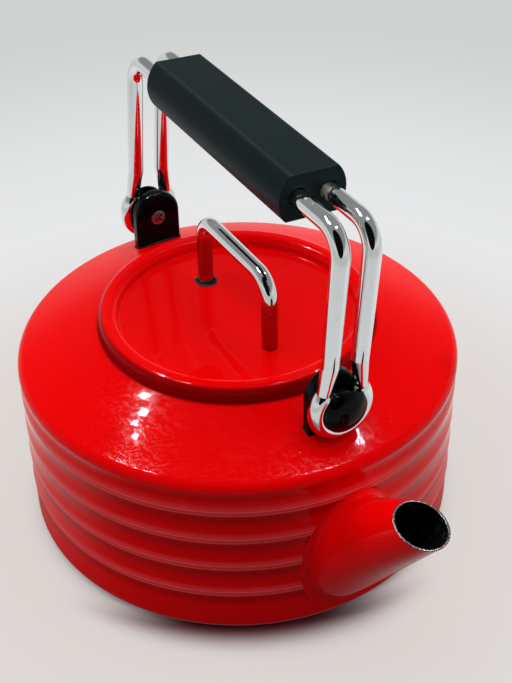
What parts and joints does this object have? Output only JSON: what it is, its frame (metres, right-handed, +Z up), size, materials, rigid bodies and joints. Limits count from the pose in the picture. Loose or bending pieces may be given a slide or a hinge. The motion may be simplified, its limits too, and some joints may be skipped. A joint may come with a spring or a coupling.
{
  "type": "stovetop kettle",
  "caption": "Wide low enamelled stovetop kettle with ribbed wall, open tapered spout, lift-off lid with a rod handle, and a folding bail with a bar grip.",
  "frame": {"origin": "centre of the standing ring, on the table plane", "axes": "+X points to the spout and is parallel to the bail's swing axis; +Y is across the kettle; +Z is up"},
  "size_m": [0.2691, 0.21, 0.2083],
  "materials": {
    "red_enamel": "glossy fired enamel on steel sheet",
    "chrome": "polished chrome plate",
    "black_phenolic": "polished black phenolic",
    "grip_phenolic": "satin black phenolic",
    "screw_steel": "zinc plated steel",
    "bare_steel": "cut steel tab, welded",
    "fibre": "vulcanised fibre washer"
  },
  "bodies": {
    "kettle_body": {"drum_shell": "red_enamel", "base_pan": "red_enamel", "spout_tube": "red_enamel", "spout_collar": "red_enamel", "front_lug": "bare_steel", "rear_lug": "bare_steel", "front_bracket": "black_phenolic", "rear_bracket": "black_phenolic", "front_pivot_screw": "screw_steel", "rear_pivot_screw": "screw_steel", "front_friction_washer": "fibre", "rear_friction_washer": "fibre", "front_pivot_nut": "screw_steel", "rear_pivot_nut": "screw_steel"},
    "bail": {"front_wire": "chrome", "rear_wire": "chrome", "grip": "grip_phenolic", "front_hub": "black_phenolic", "rear_hub": "black_phenolic", "front_hub_cap": "black_phenolic", "rear_hub_cap": "black_phenolic"},
    "lid": {"lid_pan": "red_enamel", "lid_spigot": "red_enamel", "lid_handle": "chrome", "lid_handle_washers": "screw_steel", "lid_handle_screws": "screw_steel"}
  },
  "joints": [
    {"name": "bail_swing", "type": "hinge", "parent": "kettle_body", "child": "bail", "pos_m": [0, 0, 0.1125], "axis": [1, 0, 0], "range_deg": [-84.5, 92.3]},
    {"name": "lid_lift", "type": "slide", "parent": "kettle_body", "child": "lid", "axis": [0, 0, 1], "range_m": [0, 0.039]}
  ]
}
